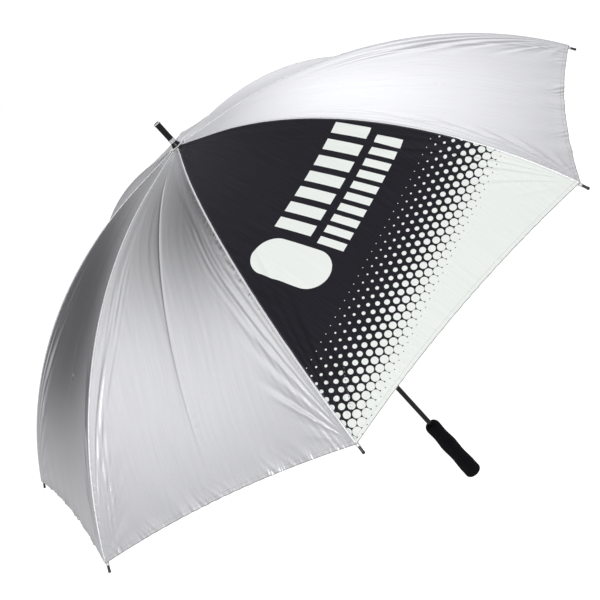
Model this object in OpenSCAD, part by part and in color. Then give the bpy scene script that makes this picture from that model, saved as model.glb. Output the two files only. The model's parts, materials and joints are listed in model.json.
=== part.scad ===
// Golf umbrella with eight curved ribs, opened by hand, shown fully open.
// Lengths are millimetres and angles are degrees.
// The origin is the centre of the grip's flat end, and +Z runs up the shaft to the ferrule.
// Rib i stands at 22.5 + 45 (i - 1) degrees, so the panel between ribs 6 and 7 faces -Y.
// Each rib is drawn in the XZ plane and then turned into place.

/* [Shaft] */
// Diameter of the shaft
shaft_d = 10; // [9:0.5:10.5]
// Height of the crown hinges above the grip's end
crown_z = 915; // [880:1:980]
// Length of the ferrule above the canopy
ferrule_h = 61; // [45:1:70]

/* [Grip] */
// Length of the foam grip
grip_h = 158; // [150:1:160]
// Radius of the grip at its lower end
grip_end_r = 17.3; // [16:0.1:19]
// Radius of the middle bulge
grip_bulge_r = 17; // [16:0.1:19]
// Radius of the two waists
grip_waist_r = 15.3; // [14:0.1:16]

/* [Ribs] */
// Length of a rib from its crown hinge to the end of its tip
rib_len = 755.5; // [735:0.5:770]
// Radius to which an open rib bends
bend_r = 769; // [740:1:800]
// Slope of an open rib where it leaves the crown, downward positive
crown_slope = -1; // [-2:0.5:0]
// Slope of an open rib over the stretcher's pivot
pivot_slope = 22.5; // [21:0.5:24]
// Diameter of a rib's rod
rod_d = 3.5; // [3.2:0.1:3.6]
// Drop from the rod's axis to the stretcher's pivot
pivot_drop = 6; // [5.8:0.1:6.5]

/* [Canopy] */
// Thickness of the cloth panels
cloth_t = 0.8; // [0.6:0.1:1]
// Length of rib tip that shows past the cloth's corner
tip_show = 16; // [10:1:20]
// Depth to which the cloth sags inward between two ribs
cloth_sag = 14; // [0:1:25]
// Height of the peak to which the cloth rises over the crown fitting
crown_peak = 6; // [0:0.5:8]
// Share of a panel's length that the scalloped hem is cut back at its middle
hem_cut = 0.019; // [0:0.001:0.06]

/* [Hidden] */

// Numbers of sides for wire and dimples, for rods, for general rounds, for turned parts and for arcs.
wire_fn = 24;
rod_fn = 32;
$fn = 48;
turned_fn = 96;
arc_fn = 360;

ribs = 8;
step_a = 360 / ribs;
half_a = step_a / 2;

// Clearance between parts that touch, how far a cut runs past its surface, and a length past any part.
fit = 0.05;
over = 1;
long = 100;

// Shaft tube, from its foot inside the grip to its top inside the ferrule.
shaft_r = shaft_d / 2;
shaft_wall = 0.7;
shaft_foot = 8;
shaft_rise = 29;
shaft_top = crown_z + shaft_rise;
slot_w = 1.6;

// Linkage: the crown hinge, the rib's pivot and the runner hinge make an isosceles triangle.
hinge_r = 9.5;
wire_r = 0.7;
eye_r = 2.5;
eye_hole_r = 0.85;
eye_t = 2.2;
eye_slot = 2.6;
eye_room = 0.5;
eye_depth = 0.1;
eye_neck = 3;
pivot_x = rib_x(pivot_slope) - pivot_drop * sin(pivot_slope);
pivot_z = rib_z(pivot_slope) - pivot_drop * cos(pivot_slope);
stretch_len = norm([pivot_x - hinge_r, crown_z - pivot_z]);
stretch_rise = atan2(crown_z - pivot_z, pivot_x - hinge_r);
runner_z = 2 * pivot_z - crown_z;

// Places along a rib, measured from its crown hinge.
pivot_at = (pivot_slope - crown_slope) * bend_r * PI / 180;
bracket_half = 8;
flex_at = pivot_at + bracket_half;
ball_r = rod_d / 2 + 0.15;
ball_gap = 0.1;
tip_r = 2.1;
tip_ball_r = 2.5;
tip_len = 22;
tip_socket = 0.2;
plate_len = 9;
plate_lap = 2;
crimp_len = 11;
crimp_wall = 0.7;

// Crown fitting, and the runner with its sleeve, foot and slotted ring.
notch_r = 12.5;
notch_low = 4.5;
notch_high = 3 + 0.9 * crown_peak;
runner_r = 8;
runner_foot_r = 10.5;
runner_foot_h = 4;
runner_ring_r = 13;
runner_ring_h = 8;
runner_top = 3;
runner_h = 65;
runner_gap = 0.25;
runner_low = runner_top - runner_h;

// Window through the runner that the lower catch springs into.
window_rise = 18;
window_h = 16;
window_low = runner_low + window_rise;

// Leaf catches: the upper one stands under the open runner, the lower one in the closed runner's window.
catch_h = 24;
catch_t = 1.2;
catch_nose = 3;
catch_back = 3.2;
catch_front = 1;
catch_gap = 0.3;
closed_lean = 1.5;
closed_travel = 2 * stretch_len * (cos(closed_lean) - sin(stretch_rise));
top_catch_z = runner_z + runner_low - catch_h - catch_gap;
bottom_catch_z = runner_z - closed_travel + window_low + window_h - catch_h - over;

// Cloth panels, and how many cells a panel has across it and along it.
cloth_lift = 3.4;
cloth_start = -2.3;
cloth_end = rib_len - tip_show;
cloth_gap = 0.15;
peak_len = sqrt(2 * bend_r * max(crown_peak, 1));
sag_turn = 144;
hem_power = 4;
cells_u = 10;
cells_v = 16;
printed_panel = 6;

// Ferrule over the shaft's end, with its foot on the crown washer.
washer_r = 15;
washer_t = 0.6;
washer_gap = 0.3;
washer_z = crown_z + cloth_lift + peak(cloth_start) + cloth_t + washer_gap;
ferrule_r = 5.6;
ferrule_bore = shaft_r - 0.4;
ferrule_rise = 3.5;
ferrule_top = crown_z + ferrule_rise + ferrule_h;
end_gap = 0.2;
ferrule_foot = washer_z + washer_t + end_gap;
cap_setback = 2;
cap_lip = 1.95;

// Grip: radius at stations up its height, each eased to the next with half a cosine wave.
grip_stations = [
    [0, grip_end_r],
    [24, grip_end_r],
    [60, grip_waist_r + 0.4],
    [92, grip_bulge_r],
    [124, grip_waist_r - 0.3],
    [146, grip_waist_r + 0.5]
];
grip_last = len(grip_stations) - 1;
grip_top_r = grip_stations[grip_last][1];
grip_top_z = grip_stations[grip_last][0];
grip_round = 6;
grip_mouth_r = 7.5;
grip_turn = 10;
grip_part = 0.1;

// Slope of an open rib at a distance along it from the crown hinge.
function slope_at(d) = crown_slope + d / bend_r * 180 / PI;

// Radius and height of an open rib's axis where it has a given slope.
function rib_x(s) = hinge_r + bend_r * (sin(s) - sin(crown_slope));
function rib_z(s) = crown_z + bend_r * (cos(s) - cos(crown_slope));

// Radius of the grip at share t of the way from station k to the next one.
function grip_ease(k, t) =
    grip_stations[k][1]
    + (grip_stations[k + 1][1] - grip_stations[k][1]) * (1 - cos(180 * t)) / 2;

function grip_height(k, t) =
    grip_stations[k][0] + t * (grip_stations[k + 1][0] - grip_stations[k][0]);

function grip_foot_point(a) =
    [grip_end_r - grip_round + grip_round * sin(a), grip_round - grip_round * cos(a)];

function grip_top_point(a) =
    [grip_mouth_r + (grip_top_r - grip_mouth_r) * cos(a), grip_top_z + (grip_h - grip_top_z) * sin(a)];

function grip_outline() = concat(
    [[0, 0]],
    [for (a = [0:grip_turn:90]) grip_foot_point(a)],
    [for (k = [1:grip_last - 1], t = [0:grip_part:1 - grip_part]) [grip_ease(k, t), grip_height(k, t)]],
    [for (a = [0:grip_turn:90]) grip_top_point(a)],
    [[0, grip_h]]
);

// Extra height of the cloth near the crown, which makes it straight from the crown to the ribs' arcs.
function peak(d) = crown_peak * pow(max(0, 1 - d / peak_len), 2);

// Inner face of a canopy panel in the frame of its middle plane: u crosses it, v runs to the hem.
function panel_at(u, v) =
    cloth_start + (cloth_end - cloth_start) * v * (1 - hem_cut * pow(v, hem_power) * (1 - u * u));

function panel_reach(s) = rib_x(s) + cloth_lift * sin(s);

function panel_normal(s) =
    [sin(s), 0, cos(s) * cos(half_a)] / norm([sin(s), cos(s) * cos(half_a)]);

function panel_sag(u, v) = cloth_sag * (1 - u * u) * pow(sin(sag_turn * v), 2);

function panel_point(u, v, lift) =
    let (d = panel_at(u, v), s = slope_at(d), r = panel_reach(s))
    [r * cos(half_a), u * (r * sin(half_a) - cloth_gap), rib_z(s) + cloth_lift * cos(s) + peak(d)]
    + panel_normal(s) * (lift - panel_sag(u, v));

// Number of a grid point, and the two triangles between a pair of edge points and the other face.
row_n = cells_u + 1;
face_n = row_n * (cells_v + 1);
function at(i, j) = j * row_n + i;
function edge_face(a, b, side) =
    side == 0 ? [a, b, b + face_n] : [a, b + face_n, a + face_n];

// Closed thin solid over the grid: inner face, outer face and the four edges between them.
panel_points = [
    for (lift = [0, cloth_t], j = [0:cells_v], i = [0:cells_u])
        panel_point(2 * i / cells_u - 1, j / cells_v, lift)
];
panel_faces = concat(
    [for (j = [0:cells_v - 1], i = [0:cells_u - 1]) [at(i, j), at(i + 1, j), at(i + 1, j + 1)]],
    [for (j = [0:cells_v - 1], i = [0:cells_u - 1]) [at(i, j), at(i + 1, j + 1), at(i, j + 1)]],
    [for (j = [0:cells_v - 1], i = [0:cells_u - 1])
        [at(i, j) + face_n, at(i + 1, j + 1) + face_n, at(i + 1, j) + face_n]],
    [for (j = [0:cells_v - 1], i = [0:cells_u - 1])
        [at(i, j) + face_n, at(i, j + 1) + face_n, at(i + 1, j + 1) + face_n]],
    [for (j = [0:cells_v - 1], side = [0, 1]) edge_face(at(0, j), at(0, j + 1), side)],
    [for (j = [0:cells_v - 1], side = [0, 1]) edge_face(at(cells_u, j + 1), at(cells_u, j), side)],
    [for (i = [0:cells_u - 1], side = [0, 1]) edge_face(at(i + 1, 0), at(i, 0), side)],
    [for (i = [0:cells_u - 1], side = [0, 1]) edge_face(at(i, cells_v), at(i + 1, cells_v), side)]
);

// Puts the children on rib i.
module on_rib(i) {
    rotate([0, 0, half_a + step_a * (i - 1)])
        children();
}

// Puts the children on the open rib's axis at a slope, with X along the rib and Z outward.
module at_slope(s) {
    translate([rib_x(s), 0, rib_z(s)])
        rotate([0, s, 0])
            children();
}

// Sweeps a flat profile along the open rib's arc between two distances.
module along_rib(from, to) {
    translate([hinge_r - bend_r * sin(crown_slope), 0, crown_z - bend_r * cos(crown_slope)])
        rotate([90, 0, 0])
            rotate([0, 0, 90 - slope_at(to)])
                rotate_extrude(angle = slope_at(to) - slope_at(from), $fn = arc_fn)
                    translate([bend_r, 0])
                        children();
}

// A round bar across the XZ plane, along Y.
module cross_bar(r, width) {
    rotate([90, 0, 0])
        cylinder(r = r, h = width, center = true);
}

// A ring of wire.
module wire_ring(z, r) {
    translate([0, 0, z])
        rotate_extrude($fn = turned_fn)
            translate([hinge_r, 0])
                circle(r = r, $fn = wire_fn);
}

// Radial slots for the eight eyes, between two heights, open to the outside.
module eye_slots(low, high) {
    for (i = [1:ribs])
        on_rib(i)
            translate([hinge_r - eye_r - eye_room, -eye_slot / 2, low])
                cube([long, eye_slot, high - low]);
}

// The flat eye by which a rib or a stretcher hangs on its wire, with the hinge at the origin.
module wire_eye(length) {
    difference() {
        union() {
            cross_bar(eye_r, eye_t);
            translate([0, -eye_t / 2, -eye_neck / 2])
                cube([length, eye_t, eye_neck]);
        }
        cross_bar(eye_hole_r, 2 * eye_t);
    }
}

module shaft_tube() {
    color([0.09, 0.09, 0.1])
        difference() {
            translate([0, 0, shaft_foot + fit])
                cylinder(d = shaft_d, h = shaft_top - shaft_foot - fit);
            translate([0, 0, shaft_foot - over])
                cylinder(r = shaft_r - shaft_wall, h = shaft_top);
            catch_slot(top_catch_z);
            catch_slot(bottom_catch_z);
        }
}

// Slot in the shaft that a catch's blade moves through, on the +Y side.
module catch_slot(z) {
    translate([-slot_w / 2, 0, z - over])
        cube([slot_w, long, catch_h + 2 * over]);
}

// Leaf catch: a thin blade whose nose rises through the shaft's slot.
module catch_blade(z) {
    translate([catch_t / 2, 0, z])
        rotate([90, 0, -90])
            linear_extrude(height = catch_t)
                polygon([
                    [-catch_back, 0],
                    [-catch_front, 0],
                    [-catch_front, catch_h],
                    [-shaft_r - catch_nose, catch_h],
                    [-shaft_r - catch_nose, catch_h - catch_nose]
                ]);
}

module top_catch() {
    color([0.75, 0.75, 0.77])
        catch_blade(top_catch_z);
}

module bottom_catch() {
    color([0.75, 0.75, 0.77])
        catch_blade(bottom_catch_z);
}

// Dark ferrule: a foot that narrows in three steps, and a plain tube over the shaft's end.
module ferrule() {
    foot_r = 8.5;
    steps = [[foot_r, 1.2], [7.6, 3.2], [6.7, 5.4], [ferrule_r, 7.4]];
    height = ferrule_top - cap_setback - ferrule_foot;
    color([0.16, 0.15, 0.16])
        difference() {
            translate([0, 0, ferrule_foot])
                rotate_extrude($fn = turned_fn)
                    polygon(concat([[0, 0], [foot_r, 0]], steps, [[ferrule_r, height], [0, height]]));
            translate([0, 0, ferrule_foot - over])
                cylinder(r = shaft_r + fit, h = shaft_top + over + end_gap - ferrule_foot);
            translate([0, 0, ferrule_foot - over])
                cylinder(r = ferrule_bore, h = long);
        }
}

// Bright band over the ferrule's foot, with a row of punched dimples.
module ferrule_band() {
    band_rise = 8.2;
    band_z = ferrule_foot + band_rise;
    band_h = 7;
    band_r = 6.2;
    dimples = 6;
    dimple_r = 1.1;
    dimple_out = 0.75;
    color([0.86, 0.86, 0.88])
        difference() {
            translate([0, 0, band_z])
                cylinder(r = band_r, h = band_h, $fn = turned_fn);
            translate([0, 0, band_z - over])
                cylinder(r = ferrule_r + fit, h = band_h + 2 * over, $fn = turned_fn);
            for (n = [1:dimples])
                rotate([0, 0, 360 / dimples * n])
                    translate([band_r + dimple_out, 0, band_z + band_h / 2])
                        sphere(r = dimple_r, $fn = wire_fn);
        }
}

// Bright rim around the ferrule's open end.
module ferrule_cap() {
    rim_h = 5;
    rim_r = 6.1;
    bevel = 0.6;
    color([0.86, 0.86, 0.88])
        difference() {
            union() {
                translate([0, 0, ferrule_top - rim_h])
                    cylinder(r = rim_r, h = rim_h - bevel, $fn = turned_fn);
                translate([0, 0, ferrule_top - bevel])
                    cylinder(r1 = rim_r, r2 = rim_r - bevel, h = bevel, $fn = turned_fn);
            }
            translate([0, 0, ferrule_top - rim_h - over])
                cylinder(r = ferrule_r + fit, h = rim_h + over - cap_lip, $fn = turned_fn);
            translate([0, 0, ferrule_top - rim_h])
                cylinder(r = ferrule_bore, h = long);
        }
}

module crown_washer() {
    color([0.8, 0.8, 0.78])
        translate([0, 0, washer_z])
            difference() {
                cylinder(r = washer_r, h = washer_t, $fn = turned_fn);
                translate([0, 0, -over])
                    cylinder(r = shaft_r + fit, h = washer_t + 2 * over);
            }
}

// Crown fitting on the shaft, with a slot for each rib's eye and a groove for the wire.
module top_notch() {
    color([0.12, 0.12, 0.13])
        difference() {
            translate([0, 0, crown_z - notch_low])
                cylinder(r = notch_r, h = notch_low + notch_high, $fn = turned_fn);
            translate([0, 0, crown_z - long / 2])
                cylinder(r = shaft_r + fit, h = long);
            eye_slots(crown_z - long, crown_z + eye_r + eye_depth);
            wire_ring(crown_z, wire_r + fit);
        }
}

module crown_wire() {
    color([0.7, 0.7, 0.72])
        wire_ring(crown_z, wire_r);
}

// Foam grip: a straight foot, a waist, a middle bulge and an upper waist under a round shoulder.
module grip() {
    color([0.13, 0.13, 0.14])
        difference() {
            rotate_extrude($fn = turned_fn)
                polygon(grip_outline());
            translate([0, 0, shaft_foot])
                cylinder(r = shaft_r + fit, h = grip_h);
        }
}

// Sliding runner: a long sleeve under a slotted ring that holds the stretchers' eyes.
module runner() {
    low = runner_z + runner_low;
    color([0.12, 0.12, 0.13])
        difference() {
            union() {
                translate([0, 0, low])
                    cylinder(r = runner_r, h = runner_h - over, $fn = turned_fn);
                translate([0, 0, low])
                    cylinder(r = runner_foot_r, h = runner_foot_h, $fn = turned_fn);
                translate([0, 0, runner_z + runner_top - runner_ring_h])
                    cylinder(r = runner_ring_r, h = runner_ring_h, $fn = turned_fn);
            }
            translate([0, 0, low - over])
                cylinder(r = shaft_r + runner_gap, h = runner_h + 2 * over);
            eye_slots(runner_z - eye_r - eye_depth, runner_z + long);
            wire_ring(runner_z, wire_r + fit);
            translate([-slot_w, 0, runner_z + window_low])
                cube([2 * slot_w, long, window_h]);
        }
}

module runner_wire() {
    color([0.7, 0.7, 0.72])
        wire_ring(runner_z, wire_r);
}

// Inner length of a rib: crown eye, crimped socket and rod, up to the flex point at the bracket.
module rib(i) {
    color([0.1, 0.1, 0.11])
        on_rib(i) {
            translate([hinge_r, 0, crown_z])
                rotate([0, crown_slope, 0]) {
                    wire_eye(plate_len + plate_lap);
                    translate([plate_len, 0, 0])
                        rotate([0, 90, 0])
                            cylinder(d = rod_d + 2 * crimp_wall, h = crimp_len, $fn = rod_fn);
                }
            along_rib(plate_len + plate_lap, flex_at - ball_r - ball_gap)
                circle(d = rod_d, $fn = rod_fn);
        }
}

// Metal bracket clamped round the rod, with an ear for the stretcher's rivet.
module rib_bracket(i) {
    ear_t = 1.6;
    ear_w = 4.8;
    sleeve_r = rod_d / 2 + 1;
    mouth_r = rod_d / 2 + 0.45;
    mouth_from = ball_r + 0.3;
    rivet_hole_r = 1.06;
    color([0.55, 0.56, 0.58])
        on_rib(i)
            difference() {
                union() {
                    along_rib(pivot_at - bracket_half, pivot_at + bracket_half)
                        circle(r = sleeve_r, $fn = rod_fn);
                    at_slope(pivot_slope) {
                        translate([-ear_w / 2, -ear_t / 2, -pivot_drop])
                            cube([ear_w, ear_t, pivot_drop]);
                        translate([0, 0, -pivot_drop])
                            cross_bar(ear_w / 2, ear_t);
                    }
                }
                along_rib(pivot_at - bracket_half - over, pivot_at + bracket_half + over)
                    circle(d = rod_d + 2 * fit, $fn = rod_fn);
                at_slope(slope_at(flex_at))
                    translate([-mouth_from, 0, 0])
                        rotate([0, 90, 0])
                            cylinder(r = mouth_r, h = long, $fn = rod_fn);
                at_slope(pivot_slope)
                    translate([0, 0, -pivot_drop])
                        cross_bar(rivet_hole_r, 2 * ear_t);
            }
}

// Outer length of a rib: the rod from the flex point to inside the tip.
module rib_outer(i) {
    color([0.1, 0.1, 0.11])
        on_rib(i) {
            at_slope(slope_at(flex_at))
                sphere(r = ball_r, $fn = rod_fn);
            along_rib(flex_at, rib_len - 3 * tip_ball_r)
                circle(d = rod_d, $fn = rod_fn);
        }
}

// Cap on a rib's end, with a ball end, to which the canopy's corner is sewn.
module rib_tip(i) {
    color([0.15, 0.15, 0.16])
        on_rib(i)
            difference() {
                union() {
                    along_rib(rib_len - tip_len, rib_len - tip_ball_r)
                        circle(r = tip_r, $fn = rod_fn);
                    at_slope(slope_at(rib_len - tip_ball_r))
                        sphere(r = tip_ball_r, $fn = rod_fn);
                }
                along_rib(rib_len - tip_len - over, rib_len - 3 * tip_ball_r + tip_socket)
                    circle(d = rod_d + 2 * fit, $fn = rod_fn);
            }
}

// Channel strut from the runner's wire to the rib's bracket, with its rivet.
module stretcher(i) {
    bar_w = 3.6;
    bar_h = 3.2;
    wall = 0.6;
    fork = 7;
    start = 7;
    start_lap = 4;
    cheek_r = 2.3;
    rivet_r = 1;
    inside = bar_w - 2 * wall;
    color([0.6, 0.61, 0.63])
        on_rib(i)
            translate([hinge_r, 0, runner_z])
                rotate([0, -stretch_rise, 0]) {
                    wire_eye(start + start_lap);
                    difference() {
                        union() {
                            translate([start, -bar_w / 2, -bar_h / 2])
                                cube([stretch_len - start, bar_w, bar_h]);
                            translate([stretch_len, 0, 0])
                                cross_bar(cheek_r, bar_w);
                        }
                        translate([start - over, -inside / 2, -bar_h])
                            cube([long + stretch_len, inside, 1.5 * bar_h - wall]);
                        translate([stretch_len - fork, -inside / 2, -bar_h])
                            cube([long, inside, 2 * bar_h]);
                    }
                    translate([stretch_len, 0, 0])
                        cross_bar(rivet_r, bar_w);
                }
}

// Canopy panel between rib i and the next one.
module canopy_panel(i) {
    color(i == printed_panel ? [0.45, 0.46, 0.46] : [0.78, 0.79, 0.8])
        rotate([0, 0, step_a * i])
            polyhedron(panel_points, panel_faces);
}

shaft_tube();
ferrule();
ferrule_band();
ferrule_cap();
crown_washer();
top_notch();
crown_wire();
grip();
runner();
runner_wire();
top_catch();
bottom_catch();
for (i = [1:ribs]) {
    rib(i);
    rib_bracket(i);
    rib_outer(i);
    rib_tip(i);
    stretcher(i);
    canopy_panel(i);
}
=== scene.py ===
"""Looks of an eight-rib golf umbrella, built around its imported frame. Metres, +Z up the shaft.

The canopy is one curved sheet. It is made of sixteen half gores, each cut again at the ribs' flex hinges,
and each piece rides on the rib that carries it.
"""
import json
import math

import bpy
import numpy as np
from mathutils import Matrix, Vector

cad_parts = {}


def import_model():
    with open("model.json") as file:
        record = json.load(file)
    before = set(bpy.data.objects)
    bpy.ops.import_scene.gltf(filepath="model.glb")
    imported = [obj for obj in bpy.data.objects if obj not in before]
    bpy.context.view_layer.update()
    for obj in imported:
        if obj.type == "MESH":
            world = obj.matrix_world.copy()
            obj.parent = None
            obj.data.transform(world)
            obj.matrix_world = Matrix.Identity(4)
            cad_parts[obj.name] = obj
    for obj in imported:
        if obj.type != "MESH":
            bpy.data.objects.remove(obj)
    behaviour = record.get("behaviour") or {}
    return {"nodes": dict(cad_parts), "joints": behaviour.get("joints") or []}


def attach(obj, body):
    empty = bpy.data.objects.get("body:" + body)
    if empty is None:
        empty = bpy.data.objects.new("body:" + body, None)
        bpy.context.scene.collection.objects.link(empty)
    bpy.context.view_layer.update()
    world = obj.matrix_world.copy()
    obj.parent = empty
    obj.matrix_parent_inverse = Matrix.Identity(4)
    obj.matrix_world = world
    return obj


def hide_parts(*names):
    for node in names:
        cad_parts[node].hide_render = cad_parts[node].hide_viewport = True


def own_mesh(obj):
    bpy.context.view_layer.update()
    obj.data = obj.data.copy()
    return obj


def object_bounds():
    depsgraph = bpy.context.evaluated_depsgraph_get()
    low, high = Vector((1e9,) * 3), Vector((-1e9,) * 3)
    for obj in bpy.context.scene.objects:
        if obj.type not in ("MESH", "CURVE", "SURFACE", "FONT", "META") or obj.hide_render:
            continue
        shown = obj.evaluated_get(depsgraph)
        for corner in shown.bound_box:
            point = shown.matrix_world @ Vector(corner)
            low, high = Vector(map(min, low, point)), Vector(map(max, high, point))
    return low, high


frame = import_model()
cad_low, cad_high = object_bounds()

RIBS = 8
STEP = math.tau / RIBS
HALF = STEP / 2
FOLD_JOINT = "canopy_fold"
PRINTED_GORE = 6
CREASED_GORE = 5

# The open rib is an arc: its radius of bend and its slope at the crown hinge.
BEND_R = 0.769
CROWN_SLOPE = math.radians(-1)
JOINT_AT = {joint["name"]: joint.get("pos_m") for joint in frame["joints"]}
HINGE_R = math.hypot(*JOINT_AT[FOLD_JOINT][:2])
CROWN_Z = JOINT_AT[FOLD_JOINT][2]
FLEX_R = math.hypot(*JOINT_AT["rib_flex_1"][:2])
FLEX_D = BEND_R * (math.asin((FLEX_R - HINGE_R) / BEND_R + math.sin(CROWN_SLOPE)) - CROWN_SLOPE)

# The cloth, measured along a rib from its crown hinge.
CLOTH_START = -0.0023
CORNER_D = 0.7395
CLOTH_LIFT = 0.0038
CROWN_PEAK = 0.006
PEAK_LEN = math.sqrt(2 * BEND_R * CROWN_PEAK)
CLOTH_T = 0.0005
HEM_T = 0.0011
HEM_W = 0.008
HEM_CUT = 0.019
HEM_WANDER = 0.0006
SAG = 0.013
SAG_TURN = 144

# Cells across a half gore, and along its inner and outer zones, which grow finer towards the hem.
COLUMNS = 80
ROWS = {"inner": 56, "outer": 84}
HEM_CROWDING = 1.7

# How far the main crease runs down the creased gore and down the others.
LONG_CREASE = 0.565
SHORT_CREASE = 0.47

# Folds that fan out from a corner: angle from the seam and width in degrees, slope, and reach in metres.
FAN_DEPTH = 0.9
FAN_FOLDS = (
    (2.3, 0.55, 0.22, 0.46),
    (3.9, 0.60, -0.20, 0.43),
    (5.6, 0.70, 0.30, 0.41),
    (7.8, 0.90, -0.30, 0.38),
    (10.6, 1.10, 0.32, 0.31),
    (14.0, 1.40, -0.28, 0.25),
    (18.5, 1.80, 0.26, 0.20),
    (25.0, 2.40, -0.32, 0.18),
    (31.0, 2.20, 0.40, 0.15),
    (42.0, 4.00, -0.18, 0.11),
    (56.0, 5.00, 0.14, 0.09),
)

# Sewing: pitch of the stitches, outline of the felled seam, corner pockets and thread ties.
STITCH_PITCH = 0.0032
SEAM_W = 0.0017
SEAM_OUTLINE = (
    (-1.0, -0.0002),
    (-0.96, 0.00045),
    (-0.45, 0.0008),
    (0.0, 0.00092),
    (0.45, 0.0008),
    (0.96, 0.00045),
    (1.0, -0.0002),
    (0.0, 0.0),
)
POCKET_ROWS = 14
POCKET_POINTS = 20
TIES_AT = (0.16, 0.47, 0.62)
TIE_R = 0.00215
THREAD_R = 0.00032


# ---------------------------------------------------------------- shape of the canopy


def rib_arc(d, lift):
    """Radius and height, at distance d along an open rib, of a line lifted off the rod's axis."""
    s = CROWN_SLOPE + d / BEND_R
    radius = HINGE_R + BEND_R * (np.sin(s) - math.sin(CROWN_SLOPE)) + lift * np.sin(s)
    height = CROWN_Z + BEND_R * (np.cos(s) - math.cos(CROWN_SLOPE)) + lift * np.cos(s)
    return radius, height, s


def cloth_lift(d):
    """Height of the cloth above the rod's axis: it rises in a straight cone to the crown."""
    return CLOTH_LIFT + CROWN_PEAK * np.maximum(0.0, 1 - d / PEAK_LEN) ** 2


def cloth_slope(d):
    """Slope of the cloth along a rib, which is the rib's own slope outside the crown's cone."""
    return CROWN_SLOPE + d / BEND_R + 2 * CROWN_PEAK / PEAK_LEN * np.maximum(0.0, 1 - d / PEAK_LEN)


def waves(seed, count, low, high):
    """Frequencies, weights and phases of a band of sine waves, the same on every run."""
    rng = np.random.default_rng(seed)
    frequency = rng.uniform(low, high, count)
    weight = rng.uniform(0.5, 1.0, count)
    return frequency, weight / weight.sum(), rng.uniform(0, math.tau, count)


def ripple(x, seed, count, low, high):
    """A smooth irregular wave of x, between -1 and 1, with wavelengths from 1/high to 1/low."""
    total = 0.0
    for frequency, weight, phase in zip(*waves(seed, count, low, high)):
        total = total + weight * np.sin(math.tau * frequency * x + phase)
    return total


def smooth(x, low, high):
    """Smooth step from 0 at low to 1 at high."""
    t = np.clip((x - low) / (high - low), 0.0, 1.0)
    return t * t * (3 - 2 * t)


def bump(x, width):
    """Bell curve of x, 1 at its middle."""
    return np.exp(-((x / width) ** 2))


def corner_folds(x, d, half_width, side, gore):
    """Tension folds that fan out from the hem's corner on one side of a gore."""
    rng = np.random.default_rng(100 * gore + 20 + int(side))
    across = half_width - side * x
    along = CORNER_D - d
    reach = np.hypot(across, along) + 1e-6
    angle = np.degrees(np.arctan2(across, np.maximum(along, 1e-6)))
    total = 0.0
    for centre, width, slope, far in FAN_FOLDS:
        middle = centre * rng.uniform(0.92, 1.08) + 0.25 * ripple(reach, 100 * gore + 27, 3, 2.0, 5.0)
        width = width * (1 + 0.35 * smooth(reach, 0.0, 0.3))
        fade = smooth(reach, 0.012, 0.05) * (1 - smooth(reach, 0.45 * far, far))
        rise = slope * rng.uniform(0.6, 1.2) * reach * math.radians(1) * width
        total = total + rise * bump(angle - middle, width) * fade
    return FAN_DEPTH * total


def cloth_relief(x, d, half_width, side, gore):
    """Height of the cloth's folds and puckers above its smooth surface."""
    seed = 100 * gore
    u = x / np.maximum(half_width, 1e-6)
    middle = 1 - np.clip(u * u, 0, 1)
    centre_x = side * x
    seam_x = half_width - centre_x
    hem_d = CORNER_D * (1 - HEM_CUT * middle) - d

    broad = 0.0022 * ripple(x + 0.3 * d, seed + 1, 4, 1.5, 4.0) * ripple(d, seed + 2, 3, 1.0, 3.0)
    crease_end = LONG_CREASE if gore == CREASED_GORE else SHORT_CREASE + 0.03 * math.sin(gore)
    crease = 0.0010 * np.exp(-centre_x / 0.022) + 0.0006 * bump(centre_x, 0.0024)
    crease = crease * smooth(d, 0.05, 0.16) * (1 - smooth(d, crease_end, crease_end + 0.14))
    knot = bump(d - crease_end - 0.03, 0.022) * bump(x - 0.004, 0.009)
    knot = 0.0006 * knot * ripple(d + 0.4 * x, seed + 3, 5, 25, 95)
    crown = 0.0006 * ripple(u, seed + 4, 7, 2.5, 9.0) * np.exp(-np.maximum(d, 0) / 0.07)
    crown = crown * smooth(d, 0.008, 0.03)
    streak = 0.00012 * ripple(x + 0.02 * ripple(d, seed + 5, 2, 1, 3), seed + 6, 7, 25, 90)
    streak = streak * smooth(d, 0.10, 0.25)
    beside = bump(seam_x - 0.030, 0.022) * smooth(d, 0.22, 0.40)
    wander = seam_x + 0.006 * ripple(d, seed + 12, 2, 1, 4)
    beside = 0.00045 * beside * ripple(wander, seed + 11, 6, 50, 140)
    seam_fold = 0.0012 * bump(seam_x - 0.020 - 0.012 * d, 0.006) * bump(d - 0.42, 0.20)
    pucker = 0.00040 * ripple(d - 0.6 * seam_x, seed + 8, 5, 55, 110) * np.exp(-seam_x / 0.007)
    lean = hem_d * (0.5 + 0.6 * ripple(x, seed + 13, 3, 4, 12))
    hem = 0.0023 * ripple(x + lean, seed + 9, 7, 30, 95) * np.exp(-hem_d / 0.012)
    patches = 0.6 + 0.7 * ripple(x, seed + 14, 3, 5, 14)
    hem = hem * smooth(seam_x, 0.0, 0.05) * patches
    hem_band = 0.0013 * ripple(x + 0.5 * hem_d, seed + 10, 4, 9, 22) * np.exp(-hem_d / 0.035)
    hem_band = hem_band * smooth(seam_x, 0.0, 0.1)
    fans = corner_folds(x, d, half_width, side, gore)
    if gore != CREASED_GORE:
        crease = 0.35 * crease
    if gore == PRINTED_GORE:
        crease, hem, hem_band, fans = 0.3 * crease, 0.4 * hem, 0.35 * hem_band, 1.9 * fans
    relief = (broad + seam_fold + streak) * middle + crease + knot + crown + hem + hem_band + fans + beside
    held = smooth(seam_x, 0.0, 0.012)
    return relief * held + pucker * smooth(d, 0.02, 0.06)


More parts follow.
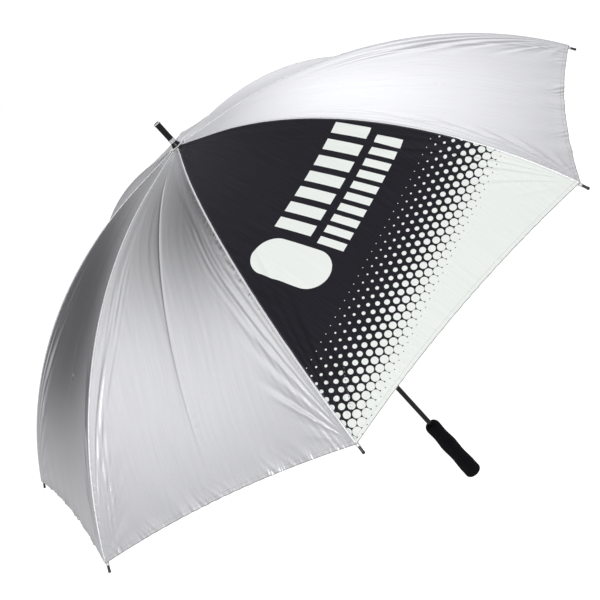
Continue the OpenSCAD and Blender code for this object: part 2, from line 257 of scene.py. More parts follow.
def gore_point(u, d, side, gore):
    """Point of the cloth's middle surface, in the row frame, and its place across the gore."""
    radius, height, _ = rib_arc(d, cloth_lift(d))
    s = cloth_slope(d)
    half_width = radius * math.sin(HALF)
    x = u * half_width
    normal = np.stack([np.sin(s), np.zeros_like(s), np.cos(s) * math.cos(HALF)], -1)
    normal = normal / np.linalg.norm(normal, axis=-1, keepdims=True)
    share = np.clip((d - CLOTH_START) / (CORNER_D - CLOTH_START), 0, 1.05)
    sag = SAG * (1 - u * u) * np.sin(np.radians(SAG_TURN * share)) ** 2
    lift = cloth_relief(x, d, half_width, side, gore) - sag
    point = np.stack([radius * math.cos(HALF), x, height], -1) + normal * lift[..., None]
    turn = STEP * gore
    turned = point.copy()
    turned[..., 0] = point[..., 0] * math.cos(turn) - point[..., 1] * math.sin(turn)
    turned[..., 1] = point[..., 0] * math.sin(turn) + point[..., 1] * math.cos(turn)
    return turned, x, half_width


def gore_normal(u, d, side, gore):
    """Outward normal of the cloth, from small steps along it."""
    step_u, step_d = 0.002, 0.0006
    ahead = gore_point(u + step_u, d, side, gore)[0]
    behind = gore_point(u - step_u, d, side, gore)[0]
    outer = gore_point(u, d + step_d, side, gore)[0]
    inner = gore_point(u, d - step_d, side, gore)[0]
    normal = np.cross(outer - inner, ahead - behind)
    return normal / np.maximum(np.linalg.norm(normal, axis=-1, keepdims=True), 1e-12)


def sheet_mesh(name, top, bottom, normal, fields):
    """Closed thin sheet from two grids of points, with smooth shading that follows the given normals."""
    rows, columns = top.shape[:2]
    count = rows * columns
    index = np.arange(count).reshape(rows, columns)
    a, b = index[:-1, :-1], index[1:, :-1]
    c, e = index[1:, 1:], index[:-1, 1:]
    faces = np.stack([a, b, c, e], -1).reshape(-1, 4)
    under = np.stack([e, c, b, a], -1).reshape(-1, 4) + count
    ring = np.concatenate([index[0, :], index[1:, -1], index[-1, -2::-1], index[-2:0:-1, 0]])
    following = np.roll(ring, -1)
    rim = np.stack([ring, following, following + count, ring + count], -1)
    points = np.concatenate([top.reshape(-1, 3), bottom.reshape(-1, 3)])
    mesh = bpy.data.meshes.new(name)
    mesh.from_pydata(points.tolist(), [], np.concatenate([faces, under, rim]).tolist())
    mesh.shade_smooth()
    flat = normal.reshape(-1, 3)
    mesh.normals_split_custom_set_from_vertices(np.concatenate([flat, -flat]).tolist())
    for field, values in fields.items():
        attribute = mesh.attributes.new(field, "FLOAT", "POINT")
        attribute.data.foreach_set("value", np.tile(values.reshape(-1), 2).astype(np.float32))
    under_side = mesh.attributes.new("under", "FLOAT", "POINT")
    under_side.data.foreach_set("value", np.repeat([0.0, 1.0], count).astype(np.float32))
    return mesh


def half_gore(gore, side, zone):
    """One half of a gore beside a rib: the inner zone, up to the flex hinge, or the outer zone."""
    fine = 1.0
    columns = int(COLUMNS * fine) + 1
    rows = int(ROWS[zone] * fine) + 1
    spread = np.linspace(0, 1, columns)
    u = side * np.broadcast_to(spread - 0.5 * np.sin(math.tau * spread) / math.tau, (rows, columns))
    hem = CORNER_D * (1 - HEM_CUT * (1 - u * u))
    hem = hem + HEM_WANDER * ripple(u * 0.25, 31 * gore + 5, 5, 25, 60) * (1 - u * u)
    low, high = (CLOTH_START, FLEX_D) if zone == "inner" else (FLEX_D, hem)
    share = np.linspace(0, 1, rows)[:, None] * np.ones((rows, columns))
    d = low + (high - low) * (share if zone == "inner" else 1 - (1 - share) ** HEM_CROWDING)
    if side < 0:
        u, d, hem = u[:, ::-1], d[:, ::-1], hem[:, ::-1]
    point, x, half_width = gore_point(u, d, side, gore)
    normal = gore_normal(u, d, side, gore)
    to_hem = hem - d
    thickness = CLOTH_T + (HEM_T - CLOTH_T) * (1 - smooth(to_hem, HEM_W - 0.002, HEM_W))
    offset = normal * (thickness / 2)[..., None]
    fields = {
        "across": x,
        "along": d,
        "to_hem": to_hem,
        "to_seam": half_width - np.abs(x),
    }
    label = "left" if side > 0 else "right"
    name = f"canopy_{gore}_{label}_{zone}"
    mesh = sheet_mesh(name, point + offset, point - offset, normal, fields)
    piece = bpy.data.objects.new(name, mesh)
    bpy.context.collection.objects.link(piece)
    return piece, point


def canopy():
    """All sixteen half gores in both zones, on their ribs."""
    for gore in range(1, RIBS + 1):
        for side in (-1, 1):
            rib = gore if side < 0 else gore % RIBS + 1
            for zone in ("inner", "outer"):
                piece, point = half_gore(gore, side, zone)
                printed = gore == PRINTED_GORE
                piece.data.materials.append(CLOTH_PRINT if printed else CLOTH_SILVER)
                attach(piece, f"rib_{rib}_{zone}")
                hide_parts(f"canopy_panel_{gore}")
                # Works out the reach across the seam's chord; nothing uses it.
                seam, middle = (-1, 0) if side > 0 else (0, -1)
                reach = (point[:, middle] - point[:, seam]).mean(0)
                chord = point[-1, seam] - point[0, seam]
                chord = chord / np.linalg.norm(chord)
                reach = reach - chord * reach.dot(chord)
                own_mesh(piece)


# ---------------------------------------------------------------- sewn details


def rib_frame(rib):
    """Unit vectors of a rib: outward from the shaft and sideways."""
    angle = HALF + STEP * (rib - 1)
    c, s = math.cos(angle), math.sin(angle)
    return np.array([c, s, 0]), np.array([-s, c, 0])


def swept_piece(name, path, across, up, profile):
    """Closed solid swept along a path; profile points are (sideways, upward) in metres, per row."""
    rows, points = len(path), profile.shape[1]
    vertices = (
        path[:, None, :]
        + across[:, None, :] * profile[..., 0][..., None]
        + up[:, None, :] * profile[..., 1][..., None]
    ).reshape(-1, 3)
    faces = []
    for row in range(rows - 1):
        for k in range(points):
            n = (k + 1) % points
            a, b = row * points + k, row * points + n
            faces.append((a, b, b + points, a + points))
    faces.append(tuple(range(points - 1, -1, -1)))
    faces.append(tuple(range((rows - 1) * points, rows * points)))
    mesh = bpy.data.meshes.new(name)
    mesh.from_pydata(vertices.tolist(), [], faces)
    mesh.validate()
    mesh.shade_smooth()
    piece = bpy.data.objects.new(name, mesh)
    bpy.context.collection.objects.link(piece)
    return piece


def rib_path(rib, start, end, lift, rows):
    """Points along a rib with their sideways and upward directions."""
    out, sideways = rib_frame(rib)
    d = np.linspace(start, end, rows)
    radius, height, s = rib_arc(d, lift(d) if callable(lift) else lift)
    path = radius[:, None] * out + height[:, None] * np.array([0, 0, 1.0])
    up = np.sin(s)[:, None] * out + np.cos(s)[:, None] * np.array([0, 0, 1.0])
    return d, path, np.broadcast_to(sideways, path.shape), up


def seam_welt(rib, zone):
    """Narrow felled seam along a rib, where two gores are sewn together."""
    start, end = (0.004, FLEX_D) if zone == "inner" else (FLEX_D, CORNER_D - 0.001)
    rows = int((end - start) / 0.0035) + 2
    d, path, across, up = rib_path(rib, start, end, cloth_lift, rows)
    dip = math.tan(HALF) * np.sin(cloth_slope(d))
    wobble = 0.00012 * ripple(d, 900 + rib, 5, 60, 140)
    half_w = SEAM_W + 0.0002 * ripple(d, 950 + rib, 4, 10, 30)
    outline = []
    for share, rise in SEAM_OUTLINE:
        side = share * half_w
        outline.append(np.stack([side + wobble, rise - abs(share) * half_w * dip], -1))
    piece = swept_piece(f"seam_{rib}_{zone}", path, across, up, np.stack(outline, 1))
    write_along(piece, d, len(outline))
    piece.data.materials.append(CLOTH_SEAM)
    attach(piece, f"rib_{rib}_{zone}")


def write_along(piece, d, points):
    """Writes each row's distance along the rib on its points."""
    attribute = piece.data.attributes.new("along", "FLOAT", "POINT")
    attribute.data.foreach_set("value", np.repeat(d, points).astype(np.float32))


def ring_profile(rows, points, radius):
    """Circles for swept_piece, one for each row."""
    angle = np.linspace(0, math.tau, points, endpoint=False)
    circle = np.stack([np.sin(angle), np.cos(angle)], -1)
    return circle[None] * np.asarray(radius)[:, None, None] * np.ones((rows, 1, 1))


def corner_pocket(rib):
    """Sewn cloth pocket that holds the rib's tip at the canopy's corner."""
    d, path, across, up = rib_path(rib, CORNER_D - 0.016, CORNER_D + 0.004, 0.0, POCKET_ROWS)
    share = np.linspace(0, 1, POCKET_ROWS)
    radius = 0.0034 - 0.0009 * share ** 2 + 0.00012 * np.sin(share * 40)
    profile = ring_profile(POCKET_ROWS, POCKET_POINTS, radius)
    profile[..., 1] += (0.0010 * (1 - share))[:, None]
    piece = swept_piece(f"corner_pocket_{rib}", path, across, up, profile)
    write_along(piece, d, POCKET_POINTS)
    piece.data.materials.append(CLOTH_SEAM)
    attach(piece, f"rib_{rib}_outer")


def thread_tie(rib, number, at):
    """Loops of thread that tie the cloth's seam to the rod."""
    out, sideways = rib_frame(rib)
    radius, height, s = rib_arc(np.array([at]), 0.0)
    centre = radius[0] * out + height[0] * np.array([0, 0, 1.0])
    along = math.cos(s[0]) * out - math.sin(s[0]) * np.array([0, 0, 1.0])
    up = math.sin(s[0]) * out + math.cos(s[0]) * np.array([0, 0, 1.0])
    turns, steps = 3, 72
    t = np.linspace(0, math.tau * turns, steps)
    stretch = 0.0004 * (np.cos(t) > 0)
    path = centre + np.outer(np.sin(t) * TIE_R, sideways)
    path = path + np.outer(np.cos(t) * TIE_R + stretch + 0.0004, up)
    path = path + np.outer((t / t[-1] - 0.5) * 0.0016, along)
    tangent = np.gradient(path, axis=0)
    tangent = tangent / np.linalg.norm(tangent, axis=1, keepdims=True)
    first = np.broadcast_to(along, path.shape)
    second = np.cross(tangent, first)
    profile = ring_profile(steps, 8, np.full(steps, THREAD_R))
    piece = swept_piece(f"thread_tie_{rib}_{number}", path, first, second, profile)
    piece.data.materials.append(THREAD)
    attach(piece, f"rib_{rib}_{'inner' if at < FLEX_D else 'outer'}")


def sewn_details():
    """Seams, corner pockets and thread ties on every rib."""
    for rib in range(1, RIBS + 1):
        seam_welt(rib, "inner")
        seam_welt(rib, "outer")
        corner_pocket(rib)
        for number, at in enumerate(TIES_AT, 1):
            thread_tie(rib, number, at)


# ---------------------------------------------------------------- materials


class Nodes:
    """Short names for building a material's node tree."""

    def __init__(self, name):
        self.material = bpy.data.materials.new(name)
        self.material.use_nodes = True
        self.tree = self.material.node_tree
        self.shader = self.tree.nodes["Principled BSDF"]

    def put(self, socket, value):
        if isinstance(value, bpy.types.NodeSocket):
            self.tree.links.new(value, socket)
        elif isinstance(value, (tuple, list)) and len(value) == 3 and socket.type == "RGBA":
            socket.default_value = (*value, 1.0)
        else:
            socket.default_value = value

    def math(self, operation, *values, clamp=False):
        node = self.tree.nodes.new("ShaderNodeMath")
        node.operation = operation
        node.use_clamp = clamp
        for socket, value in zip(node.inputs, values):
            self.put(socket, value)
        return node.outputs[0]

    def field(self, name):
        node = self.tree.nodes.new("ShaderNodeAttribute")
        node.attribute_name = name
        return node.outputs["Fac"]

    def vector(self, x, y, z=0.0):
        node = self.tree.nodes.new("ShaderNodeCombineXYZ")
        for socket, value in zip(node.inputs, (x, y, z)):
            self.put(socket, value)
        return node.outputs[0]

    def place(self):
        return self.tree.nodes.new("ShaderNodeTexCoord").outputs["Object"]

    def scaled(self, vector, scale):
        node = self.tree.nodes.new("ShaderNodeMapping")
        self.put(node.inputs["Vector"], vector)
        node.inputs["Scale"].default_value = scale
        return node.outputs[0]

    def noise(self, vector, scale, detail=3.0, roughness=0.55):
        node = self.tree.nodes.new("ShaderNodeTexNoise")
        self.put(node.inputs["Vector"], vector)
        node.inputs["Scale"].default_value = scale
        node.inputs["Detail"].default_value = detail
        node.inputs["Roughness"].default_value = roughness
        return node.outputs["Fac"]

    def cells(self, vector, scale):
        node = self.tree.nodes.new("ShaderNodeTexVoronoi")
        self.put(node.inputs["Vector"], vector)
        node.inputs["Scale"].default_value = scale
        return node.outputs["Distance"]

    def remap(self, value, low, high, new_low, new_high):
        node = self.tree.nodes.new("ShaderNodeMapRange")
        for socket, item in zip(node.inputs, (value, low, high, new_low, new_high)):
            self.put(socket, item)
        return node.outputs[0]

    def mix(self, factor, first, second):
        node = self.tree.nodes.new("ShaderNodeMix")
        node.data_type = "RGBA"
        self.put(node.inputs[0], factor)
        self.put(node.inputs[6], first)
        self.put(node.inputs[7], second)
        return node.outputs[2]

    def bumps(self, height, strength, distance):
        """Adds a layer of bump over any layer that the shader already has."""
        node = self.tree.nodes.new("ShaderNodeBump")
        self.put(node.inputs["Height"], height)
        node.inputs["Strength"].default_value = strength
        node.inputs["Distance"].default_value = distance
        normal = self.shader.inputs["Normal"]
        if normal.is_linked:
            self.put(node.inputs["Normal"], normal.links[0].from_socket)
        self.put(normal, node.outputs[0])

    def finish(self, **values):
        for name, value in values.items():
            self.put(self.shader.inputs[name.replace("_", " ")], value)
        return self.material


def weave_height(n, across, along):
    """Fine cloth weave: warp and weft threads, with long thin streaks where the threads vary."""
    threads = 1700.0
    warp = n.math("SINE", n.math("MULTIPLY", across, threads * math.tau / 2))
    weft = n.math("SINE", n.math("MULTIPLY", along, threads * math.tau / 2))
    weave = n.math("MULTIPLY", warp, weft)
    streaks = n.noise(n.scaled(n.vector(across, along), (420.0, 9.0, 1.0)), 1.0, 4.0, 0.6)
    return n.math("MULTIPLY_ADD", weave, 0.12, streaks), streaks


def stitch_mask(n, distance, along, at):
    """1 on a row of stitches that runs at a set distance from an edge."""
    line = n.math("LESS_THAN", n.math("ABSOLUTE", n.math("SUBTRACT", distance, at)), 0.0004)
    phase = n.math("FRACT", n.math("DIVIDE", along, STITCH_PITCH))
    return n.math("MULTIPLY", line, n.math("LESS_THAN", phase, 0.7))


def gathers(n, across, along, to_hem, to_seam):
    """Short tight gathers where the sewing thread draws up the hem and the seams."""
    beside_hem = n.noise(n.scaled(n.vector(across, to_hem), (230.0, 38.0, 1.0)), 1.0, 1.0)
    beside_seam = n.noise(n.scaled(n.vector(along, to_seam), (210.0, 60.0, 1.0)), 1.0, 1.0)
    near_hem = n.math("POWER", n.remap(to_hem, 0.0, 0.022, 1.0, 0.0), 1.5)
    near_seam = n.math("POWER", n.remap(to_seam, 0.0, 0.010, 1.0, 0.0), 1.5)
    return n.math("MULTIPLY_ADD", beside_hem, near_hem, n.math("MULTIPLY", beside_seam, near_seam))


def cloth_material(name, colour_of, roughness, metallic, specular):
    """Woven cloth with stitched edges; it is coated outside and plain dark grey underneath."""
    n = Nodes(name)
    across, along = n.field("across"), n.field("along")
    to_hem, to_seam = n.field("to_hem"), n.field("to_seam")
    height, streaks = weave_height(n, across, along)
    stitches = n.math(
        "MAXIMUM",
        stitch_mask(n, to_hem, across, HEM_W - 0.0015),
        stitch_mask(n, to_seam, along, 0.0032),
    )
    hem_edge = n.math("SUBTRACT", 1.0, n.remap(to_hem, 0.0002, 0.0016, 0.0, 1.0))
    colour = colour_of(n, across, along, streaks)
    colour = n.mix(n.math("MULTIPLY", stitches, 0.35), colour, (0.25, 0.25, 0.26))
    colour = n.mix(n.math("MULTIPLY", hem_edge, 0.75, clamp=True), colour, (0.10, 0.10, 0.10))
    colour = n.mix(n.field("under"), colour, (0.16, 0.16, 0.17))
    outside = n.math("SUBTRACT", 1.0, n.field("under"))
    height = n.math("SUBTRACT", height, n.math("MULTIPLY", stitches, 0.8))
    n.bumps(gathers(n, across, along, to_hem, to_seam), 1.0, 0.0012)
    n.bumps(height, 0.22, 0.0004)
    rough = n.math("MULTIPLY_ADD", streaks, 0.10, roughness - 0.05)
    return n.finish(
        Base_Color=colour,
        Roughness=rough,
        Metallic=n.math("MULTIPLY", outside, metallic),
        Specular_IOR_Level=specular,
    )


def silver_colour(n, across, along, streaks):
    """Silver coating with faint patches, streaks and slubs."""
    patch = n.noise(n.place(), 5.0, 2.0)
    silver = n.mix(patch, (0.80, 0.795, 0.82), (0.87, 0.87, 0.88))
    silver = n.mix(n.remap(streaks, 0.35, 0.75, 0.0, 0.22), silver, (0.58, 0.58, 0.60))
    slubs = n.noise(n.scaled(n.vector(across, along), (70.0, 1500.0, 1.0)), 1.0, 2.0)
    return n.mix(n.remap(slubs, 0.5, 0.8, 0.0, 0.20), silver, (0.55, 0.55, 0.57))


# The print's rows are tilted against the gore. Places are along the tilted axes, in metres.
PRINT_TILT = math.radians(14.3)
DOT_PITCH = 0.0143
ROW_PITCH = 0.0115
DOTS_START = 0.545
DOTS_END = 0.668
SMALL_DOT = 0.0007
LARGE_DOT = 0.0081

# Plain stripes: first and last place along a row, first and last row, number and gap.
STRIPES = (
    (-0.165, 0.037, 0.377, 0.444, 7, 0.011),
    (-0.172, 0.029, 0.459, 0.505, 10, 0.008),
)

# Plain pill: place along a row, first and last row, and radius.
PILL = (-0.216, 0.372, 0.505, 0.034)


def print_axes(n, across, along):
    """Coordinates along a row of dots and across the rows."""
    c, s = math.cos(PRINT_TILT), math.sin(PRINT_TILT)
    row = n.math("SUBTRACT", n.math("MULTIPLY", across, c), n.math("MULTIPLY", along, s))
    fade = n.math("ADD", n.math("MULTIPLY", across, s), n.math("MULTIPLY", along, c))
    return row, fade


def dot_lattice(n, row, fade, shift_row, shift_fade):
    """White dots on one rectangular lattice, growing from the first row to the last."""
    pitch, rise = DOT_PITCH, 2 * ROW_PITCH
    column = n.math("DIVIDE", n.math("SUBTRACT", row, shift_row), pitch)
    line = n.math("DIVIDE", n.math("SUBTRACT", fade, shift_fade), rise)
    nearest_line = n.math("ROUND", line)
    x = n.math("MULTIPLY", n.math("SUBTRACT", column, n.math("ROUND", column)), pitch)
    y = n.math("MULTIPLY", n.math("SUBTRACT", line, nearest_line), rise)
    centre = n.math("MULTIPLY_ADD", nearest_line, rise, shift_fade)
    radius = n.remap(centre, DOTS_START, DOTS_END, SMALL_DOT, LARGE_DOT)
    square = n.math("ADD", n.math("POWER", x, 2.0), n.math("POWER", y, 2.0))
    inside = n.math("SUBTRACT", radius, n.math("SQRT", square))
    mask = n.remap(inside, -0.00025, 0.00025, 0.0, 1.0)
    return n.math("MULTIPLY", mask, n.math("GREATER_THAN", centre, DOTS_START - 0.001))


def plain_stripes(n, row, fade, low, high, near, far, count, gap):
    """1 inside equal plain stripes that stand side by side between two places along the rows."""
    pitch = (high - low + gap) / count
    half_w, half_h = (pitch - gap) / 2, (far - near) / 2
    place = n.math("DIVIDE", n.math("SUBTRACT", row, low - gap / 2), pitch)
    offset = n.math("SUBTRACT", n.math("FRACT", place), 0.5)
    x = n.math("MULTIPLY_ADD", n.math("ABSOLUTE", offset), pitch, -half_w)
    y = n.math("SUBTRACT", n.math("ABSOLUTE", n.math("SUBTRACT", fade, (near + far) / 2)), half_h)
    inside = n.remap(n.math("MAXIMUM", x, y), -0.0002, 0.0002, 1.0, 0.0)
    beyond = n.math("SUBTRACT", n.math("ABSOLUTE", n.math("SUBTRACT", place, count / 2)), count / 2)
    return n.math("MULTIPLY", inside, n.math("LESS_THAN", beyond, 0.0))


def plain_pill(n, row, fade, at_row, near, far, radius):
    """1 inside a plain round-ended bar that crosses the rows."""
    half_h = (far - near) / 2 - radius
    x = n.math("SUBTRACT", row, at_row)
    y = n.math("SUBTRACT", n.math("ABSOLUTE", n.math("SUBTRACT", fade, (near + far) / 2)), half_h)
    y = n.math("MAXIMUM", y, 0.0)
    distance = n.math("SQRT", n.math("ADD", n.math("POWER", x, 2.0), n.math("POWER", y, 2.0)))
    return n.remap(distance, radius - 0.0002, radius + 0.0002, 1.0, 0.0)


def print_colour(n, across, along, streaks):
    """Black cloth with a fade of dots to white at the hem, and plain stripes for decoration."""
    row, fade = print_axes(n, across, along)
    even = dot_lattice(n, row, fade, 0.0, DOTS_START)
    odd = dot_lattice(n, row, fade, DOT_PITCH / 2, DOTS_START + ROW_PITCH)
    white = n.math("MAXIMUM", even, odd)
    white = n.math("MAXIMUM", white, n.math("GREATER_THAN", fade, DOTS_END + 0.004))
    for stripes in STRIPES:
        white = n.math("MAXIMUM", white, plain_stripes(n, row, fade, *stripes))
    white = n.math("MAXIMUM", white, plain_pill(n, row, fade, *PILL))
    black = n.mix(n.remap(streaks, 0.3, 0.8, 0.0, 1.0), (0.011, 0.010, 0.014), (0.020, 0.019, 0.026))
    pale = n.mix(n.remap(streaks, 0.3, 0.8, 0.0, 1.0), (0.80, 0.83, 0.80), (0.74, 0.77, 0.74))
    return n.mix(white, black, pale)


def seam_material():
    """Silver seam cloth with a row of stitches."""
    n = Nodes("seam_cloth")
    along = n.field("along")
    stitch = n.math("GREATER_THAN", n.math("SINE", n.math("MULTIPLY", along, math.tau / STITCH_PITCH)), 0.2)
    grain = n.noise(n.scaled(n.place(), (900.0, 900.0, 900.0)), 1.0)
    colour = n.mix(n.math("MULTIPLY", stitch, 0.25), (0.80, 0.80, 0.82), (0.45, 0.45, 0.47))
    n.bumps(n.math("ADD", n.math("MULTIPLY", stitch, 0.6), grain), 0.3, 0.0003)
    return n.finish(Base_Color=colour, Roughness=0.42, Metallic=0.45)


def plastic_material(name, colour, roughness):
    """Moulded plastic with a fine grain and a little pale dust."""
    n = Nodes(name)
    grain = n.noise(n.place(), 900.0, 2.0)
    wear = n.noise(n.place(), 35.0, 4.0)
    shade = n.mix(n.remap(wear, 0.45, 0.8, 0.0, 0.06), colour, (0.5, 0.5, 0.5))
    n.bumps(grain, 0.12, 0.0002)
    return n.finish(Base_Color=shade, Roughness=n.math("MULTIPLY_ADD", wear, 0.2, roughness - 0.1))


def metal_material(name, colour, roughness, stretch=(60.0, 60.0, 3000.0)):
    """Drawn metal: fine lines along one axis, with faint smudges."""
    n = Nodes(name)
    lines = n.noise(n.scaled(n.place(), stretch), 1.0, 3.0)
    smudge = n.noise(n.place(), 40.0, 3.0)
    shade = n.mix(n.remap(smudge, 0.4, 0.8, 0.0, 0.35), colour, tuple(0.6 * c for c in colour))
    n.bumps(lines, 0.08, 0.0002)
    rough = n.math("MULTIPLY_ADD", lines, 0.16, roughness - 0.08)
    return n.finish(Base_Color=shade, Metallic=1.0, Roughness=rough)


# Height of the bright band at the cap's top, which is partly polished metal and partly a painted highlight.
RIM_BRIGHT = 0.0024


def rim_material():
    """End rim over a dark skirt, with fine turning lines; the rim's bright band is partly polished metal
    and partly a painted highlight.
    """
    n = Nodes("ferrule_rim")
    split = n.tree.nodes.new("ShaderNodeSeparateXYZ")
    n.put(split.inputs[0], n.place())
    top = max(vertex.co.z for vertex in frame["nodes"]["ferrule_cap"].data.vertices)
    lines = n.noise(n.scaled(n.place(), (300.0, 300.0, 4000.0)), 1.0, 3.0)
    smudge = n.noise(n.place(), 60.0, 3.0)
    # Bright band at the top: partly polished metal, partly a painted highlight where the rim catches the
    # light.
    polished_and_highlit = n.math("GREATER_THAN", split.outputs[2], top - RIM_BRIGHT)
    light = n.mix(n.remap(smudge, 0.4, 0.8, 0.0, 0.35), (0.88, 0.88, 0.90), (0.55, 0.55, 0.57))
    shade = n.mix(polished_and_highlit, (0.035, 0.033, 0.036), light)
    n.bumps(lines, 0.08, 0.0002)
    return n.finish(Base_Color=shade, Metallic=1.0, Roughness=n.math("MULTIPLY_ADD", lines, 0.12, 0.12))


def shaft_material():
    """Gloss black lacquer over a tube, with faint lengthwise drawing marks."""
    n = Nodes("shaft_lacquer")
    marks = n.noise(n.scaled(n.place(), (900.0, 900.0, 14.0)), 1.0, 3.0)
    specks = n.noise(n.place(), 260.0, 2.0)
    shade = n.mix(n.remap(marks, 0.4, 0.8, 0.0, 0.12), (0.006, 0.006, 0.007), (0.10, 0.10, 0.11))
    n.bumps(n.math("MULTIPLY_ADD", specks, 0.3, marks), 0.06, 0.0002)
    return n.finish(Base_Color=shade, Roughness=0.20, Specular_IOR_Level=0.35)


def foam_material():
    """Closed-cell foam: fine pores, a dull skin and slight scuffs."""
    n = Nodes("grip_foam")
    pores = n.cells(n.place(), 1500.0)
    lumps = n.noise(n.place(), 700.0, 4.0, 0.7)
    scuff = n.noise(n.place(), 55.0, 4.0)
    shade = n.mix(n.remap(pores, 0.1, 0.7, 0.0, 0.5), (0.0022, 0.0020, 0.0030), (0.008, 0.0075, 0.010))
    shade = n.mix(n.remap(scuff, 0.5, 0.8, 0.0, 0.06), shade, (0.06, 0.06, 0.065))
    n.bumps(n.math("ADD", pores, n.math("MULTIPLY", lumps, 0.8)), 0.55, 0.0006)
    return n.finish(Base_Color=shade, Roughness=0.8, Specular_IOR_Level=0.12)


def thread_material():
    """Twisted grey sewing thread."""
    n = Nodes("thread")
    twist = n.noise(n.scaled(n.place(), (2200.0, 2200.0, 2200.0)), 1.0, 2.0)
    n.bumps(twist, 0.4, 0.0002)
    return n.finish(Base_Color=n.mix(twist, (0.30, 0.30, 0.31), (0.55, 0.55, 0.56)), Roughness=0.7)


CLOTH_SILVER = cloth_material("cloth_silver", silver_colour, 0.34, 0.96, 0.5)
CLOTH_PRINT = cloth_material("cloth_print", print_colour, 0.50, 0.0, 0.09)
CLOTH_SEAM = seam_material()
THREAD = thread_material()


def cad_materials():
    """Finishes for the CAD nodes that stay in view."""
    steel = metal_material("drawn_steel", (0.62, 0.62, 0.64), 0.32)
    strut = metal_material("strut_steel", (0.50, 0.51, 0.53), 0.38)
    bright = metal_material("bright_trim", (0.88, 0.88, 0.90), 0.12, (300.0, 300.0, 40.0))
    dark = metal_material("ferrule_dark", (0.035, 0.033, 0.036), 0.20, (40.0, 40.0, 900.0))
    washer = plastic_material("washer", (0.84, 0.84, 0.83), 0.35)
    rod = plastic_material("fibre_rod", (0.018, 0.018, 0.020), 0.42)
    tip = plastic_material("tip_plastic", (0.020, 0.020, 0.022), 0.30)
    moulded = plastic_material("moulded_black", (0.020, 0.020, 0.022), 0.45)
    finishes = {
        "shaft_tube": shaft_material(),
        "grip": foam_material(),
        "ferrule": dark,
        "ferrule_band": bright,
        "ferrule_cap": rim_material(),
        "crown_washer": washer,
        "top_notch": moulded,
        "runner": moulded,
        "crown_wire": steel,
        "runner_wire": steel,
        "top_catch": steel,
        "bottom_catch": steel,
    }
    for rib in range(1, RIBS + 1):
        finishes[f"rib_{rib}"] = rod
        finishes[f"rib_outer_{rib}"] = rod
        finishes[f"rib_tip_{rib}"] = tip
        finishes[f"rib_bracket_{rib}"] = steel
        finishes[f"stretcher_{rib}"] = strut
    for node, material in finishes.items():
        mesh = frame["nodes"][node].data
        mesh.materials.clear()
        mesh.materials.append(material)


# ---------------------------------------------------------------- stage, light and camera

CAMERA_AT = (-0.4705, -1.8206, 1.298)
CAMERA_RIGHT = Vector((0.6550, -0.4179, -0.6295))
CAMERA_UP = Vector((0.7227, 0.1031, 0.6835))
CAMERA_LENS = 63.84
SENSOR = 36.0

# The floor: its drop below the grip's end, its glow, and how much more the camera sees of that glow.
FLOOR_DROP = 0.9
FLOOR_HALF = 30.0
FLOOR_GLOW = 0.58
FLOOR_GLOW_SEEN = 0.67
FLOOR_GLOW_SHARE = 0.85

# The surround's even level, and its soft areas: azimuth, elevation and width in degrees, and strength.
SURROUND_LEVEL = 0.52
SURROUND_AREAS = (
    (40, 27, 26, 0.95),
    (152, 57, 26, 0.56),
    (107, 20, 14, -0.85),
    (100, 11, 8, -0.45),
    (110, 42, 18, -0.56),
    (80, 26, 14, -0.34),
)


def pointing(azimuth, elevation):
    """Unit vector towards an azimuth and elevation in degrees."""
    a, e = math.radians(azimuth), math.radians(elevation)
    return math.cos(a) * math.cos(e), math.sin(a) * math.cos(e), math.sin(e)


def floor():
    """Plain pale floor, well below the umbrella, that can be seen through from underneath."""
    half = FLOOR_HALF
    mesh = bpy.data.meshes.new("floor")
    corners = [(-half, -half), (half, -half), (half, half), (-half, half)]
    mesh.from_pydata([(x, y, cad_low.z - FLOOR_DROP) for x, y in corners], [], [(0, 1, 2, 3)])
    n = Nodes("floor_pale")
    tree = n.tree
    grain = n.noise(n.place(), 3.0, 2.0)
    n.finish(Base_Color=n.mix(grain, (0.90, 0.90, 0.90), (0.93, 0.93, 0.93)), Roughness=0.9)
    glow = tree.nodes.new("ShaderNodeEmission")
    glow.inputs["Color"].default_value = (1.0, 1.0, 1.0, 1.0)
    seen = tree.nodes.new("ShaderNodeLightPath").outputs["Is Camera Ray"]
    n.put(glow.inputs["Strength"], n.math("MULTIPLY_ADD", seen, FLOOR_GLOW_SEEN, FLOOR_GLOW))
    clear = tree.nodes.new("ShaderNodeBsdfTransparent")
    pale = tree.nodes.new("ShaderNodeMixShader")
    pale.inputs[0].default_value = FLOOR_GLOW_SHARE
    tree.links.new(n.shader.outputs[0], pale.inputs[1])
    tree.links.new(glow.outputs[0], pale.inputs[2])
    sides = tree.nodes.new("ShaderNodeMixShader")
    tree.links.new(tree.nodes.new("ShaderNodeNewGeometry").outputs["Backfacing"], sides.inputs[0])
    tree.links.new(pale.outputs[0], sides.inputs[1])
    tree.links.new(clear.outputs[0], sides.inputs[2])
    tree.links.new(sides.outputs[0], tree.nodes["Material Output"].inputs["Surface"])
    mesh.materials.append(n.material)
    plane = bpy.data.objects.new("floor", mesh)
    bpy.context.collection.objects.link(plane)


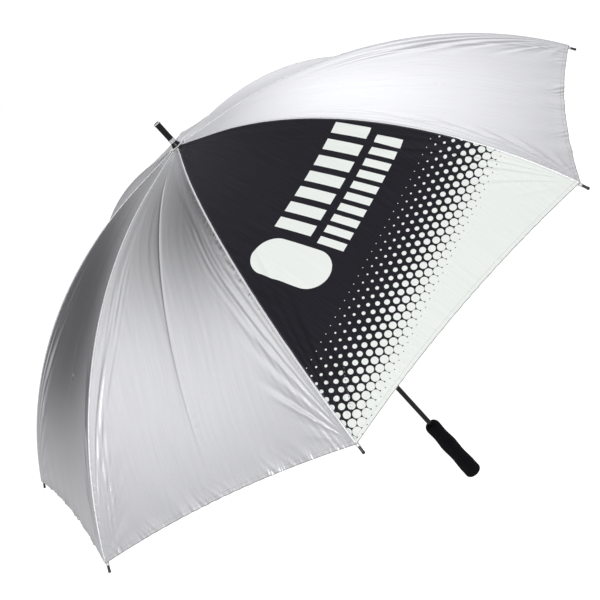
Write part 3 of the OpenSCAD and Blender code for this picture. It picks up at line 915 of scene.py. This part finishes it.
def world():
    """White to the camera, and a studio surround of soft bright and dark areas for reflections."""
    scene_world = bpy.data.worlds.new("studio")
    bpy.context.scene.world = scene_world
    scene_world.use_nodes = True
    tree = scene_world.node_tree
    tree.nodes.clear()

    def math_node(operation, *values):
        node = tree.nodes.new("ShaderNodeMath")
        node.operation = operation
        for socket, value in zip(node.inputs, values):
            if isinstance(value, bpy.types.NodeSocket):
                tree.links.new(value, socket)
            else:
                socket.default_value = value
        return node.outputs[0]

    direction = tree.nodes.new("ShaderNodeTexCoord").outputs["Generated"]
    level = SURROUND_LEVEL
    for azimuth, elevation, width, strength in SURROUND_AREAS:
        dot = tree.nodes.new("ShaderNodeVectorMath")
        dot.operation = "DOT_PRODUCT"
        tree.links.new(direction, dot.inputs[0])
        dot.inputs[1].default_value = pointing(azimuth, elevation)
        fall = 1.0 / (1.0 - math.cos(math.radians(width)))
        shape = math_node("EXPONENT", math_node("MULTIPLY_ADD", dot.outputs["Value"], fall, -fall))
        level = math_node("MULTIPLY_ADD", shape, strength, level)
    out = tree.nodes.new("ShaderNodeOutputWorld")
    mix = tree.nodes.new("ShaderNodeMixShader")
    seen = tree.nodes.new("ShaderNodeBackground")
    seen.inputs["Color"].default_value = (1, 1, 1, 1)
    around = tree.nodes.new("ShaderNodeBackground")
    around.inputs["Color"].default_value = (0.98, 0.985, 1.0, 1)
    tree.links.new(math_node("MAXIMUM", level, 0.0), around.inputs["Strength"])
    path = tree.nodes.new("ShaderNodeLightPath")
    tree.links.new(path.outputs["Is Camera Ray"], mix.inputs[0])
    tree.links.new(around.outputs[0], mix.inputs[1])
    tree.links.new(seen.outputs[0], mix.inputs[2])
    tree.links.new(mix.outputs[0], out.inputs["Surface"])


SOFTBOX_TARGET_DROP = 0.12


def softbox(name, azimuth, elevation, distance, size, power):
    """Area light that looks at the canopy from an azimuth and elevation, in degrees."""
    target = Vector((0, 0, CROWN_Z - SOFTBOX_TARGET_DROP))
    direction = Vector(pointing(azimuth, elevation))
    data = bpy.data.lights.new(name, "AREA")
    data.shape = "RECTANGLE"
    data.size, data.size_y = size
    data.energy = power
    light = bpy.data.objects.new(name, data)
    bpy.context.collection.objects.link(light)
    light.location = target + direction * distance
    light.rotation_euler = direction.to_track_quat("Z", "Y").to_euler()


def lights():
    """One large softbox in front of the printed panel, for the cloth's matt parts and the trim."""
    softbox("front", azimuth=250, elevation=32, distance=3.4, size=(2.4, 2.0), power=60)


def camera():
    """Camera at the photograph's angle."""
    data = bpy.data.cameras.new("camera")
    data.lens = CAMERA_LENS
    data.sensor_width = SENSOR
    obj = bpy.data.objects.new("camera", data)
    bpy.context.collection.objects.link(obj)
    right = CAMERA_RIGHT.normalized()
    up = (CAMERA_UP - right * CAMERA_UP.dot(right)).normalized()
    back = right.cross(up)
    rotation = Matrix((right, up, back)).transposed().to_4x4()
    obj.matrix_world = Matrix.Translation(CAMERA_AT) @ rotation
    bpy.context.scene.camera = obj


cad_materials()
canopy()
sewn_details()
floor()
world()
lights()
camera()
bpy.context.scene.view_settings.view_transform = "Standard"
